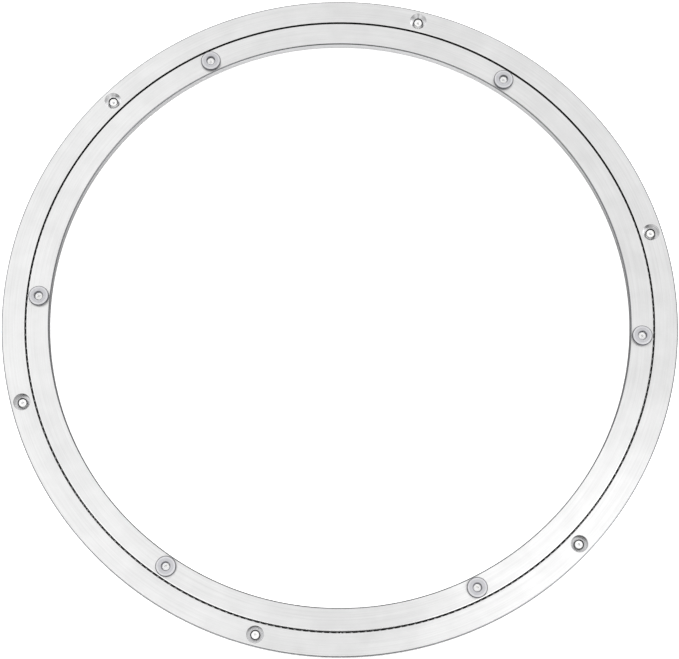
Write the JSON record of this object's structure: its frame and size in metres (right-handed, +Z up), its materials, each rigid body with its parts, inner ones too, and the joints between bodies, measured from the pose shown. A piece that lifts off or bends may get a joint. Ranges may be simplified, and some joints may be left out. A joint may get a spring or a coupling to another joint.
{
  "type": "lazy susan turntable",
  "caption": "Flat aluminium lazy susan bearing: two concentric rings turning on a caged ball race, with soft push-in feet below and soft pads above for a round table top.",
  "frame": {"origin": "on the axis of rotation, level with the undersides of the feet", "axes": "+Z up along the axis of rotation; +X and +Y lie in the plane of the rings"},
  "size_m": [0.5, 0.5, 0.0145],
  "materials": {
    "brushed_aluminium": "turned to a fine concentric brushed grain, clear anodised",
    "translucent_pvc": "moulded soft translucent PVC, slightly hazy",
    "black_nylon": "moulded, matt",
    "bearing_steel": "ground and polished",
    "black_steel": "black oxide, lightly oiled"
  },
  "bodies": {
    "base": {"outer_ring": "brushed_aluminium", "filler_plug": "black_steel", "foot_1": "translucent_pvc", "foot_2": "translucent_pvc", "foot_3": "translucent_pvc", "foot_4": "translucent_pvc", "foot_5": "translucent_pvc", "foot_6": "translucent_pvc"},
    "turntable": {"inner_ring": "brushed_aluminium", "top_pad_1": "translucent_pvc", "top_pad_2": "translucent_pvc", "top_pad_3": "translucent_pvc", "top_pad_4": "translucent_pvc", "top_pad_5": "translucent_pvc", "top_pad_6": "translucent_pvc"},
    "ball_train": {"cage_strip_1": "black_nylon", "cage_strip_2": "black_nylon", "cage_strip_3": "black_nylon", "cage_strip_4": "black_nylon", "cage_strip_5": "black_nylon", "cage_strip_6": "black_nylon", "cage_strip_7": "black_nylon", "cage_strip_8": "black_nylon", "race_balls_1": "bearing_steel", "race_balls_2": "bearing_steel", "race_balls_3": "bearing_steel", "race_balls_4": "bearing_steel", "race_balls_5": "bearing_steel", "race_balls_6": "bearing_steel", "race_balls_7": "bearing_steel", "race_balls_8": "bearing_steel"}
  },
  "joints": [
    {"name": "ring_spin", "type": "hinge", "parent": "base", "child": "turntable", "pos_m": [0, 0, 0.00725], "axis": [0, 0, 1], "continuous": true},
    {"name": "cage_spin", "type": "hinge", "parent": "base", "child": "ball_train", "pos_m": [0, 0, 0.00725], "axis": [0, 0, 1], "continuous": true}
  ],
  "couplings": [
    {"joint": "cage_spin", "follows": "ring_spin", "ratio": 0.4957}
  ]
}
